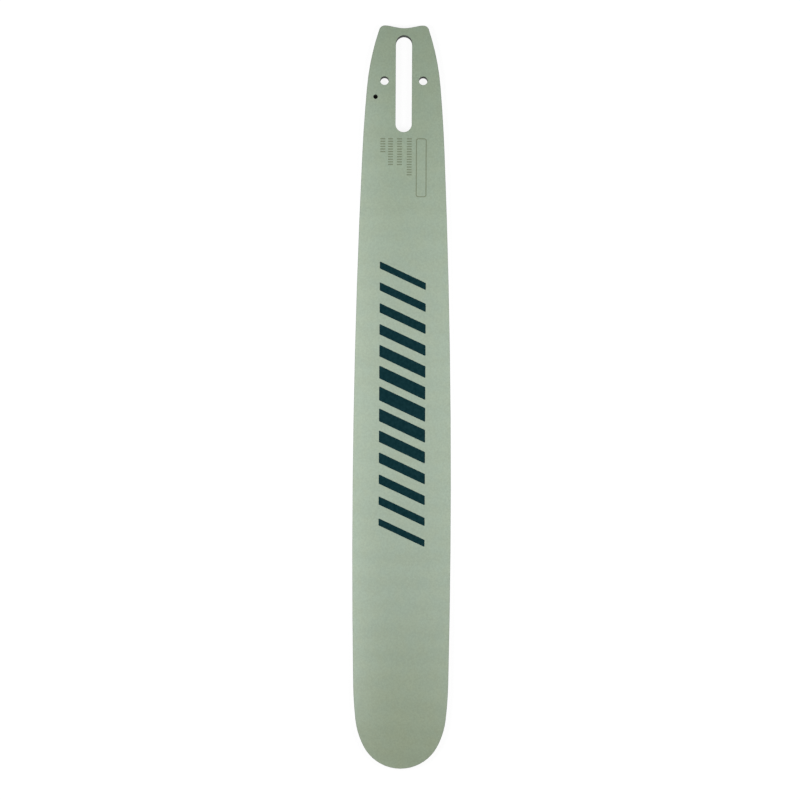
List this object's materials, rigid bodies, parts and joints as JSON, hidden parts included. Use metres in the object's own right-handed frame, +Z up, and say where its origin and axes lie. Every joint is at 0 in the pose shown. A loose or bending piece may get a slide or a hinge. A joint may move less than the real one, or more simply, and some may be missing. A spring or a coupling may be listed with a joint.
{
  "type": "chainsaw guide bar",
  "caption": "Long flat steel guide bar with a solid round nose, bowed rails, a chain groove round its edge and a stud slot with tensioner and oil holes at the tail.",
  "frame": {"origin": "middle of the length and width, on the underside that the bar lies on", "axes": "+X along the bar from the tail with the stud slot to the nose, +Y across it, +Z up out of the upper face"},
  "size_m": [0.58, 0.0766, 0.0048],
  "materials": {
    "bar_paint": "satin sage green-grey paint",
    "print_ink": "satin dark teal ink of the printed stripes",
    "etched_mark": "matt olive-grey laser mark in the paint"
  },
  "bodies": {
    "root": {"guide_bar": "bar_paint"}
  },
  "joints": []
}
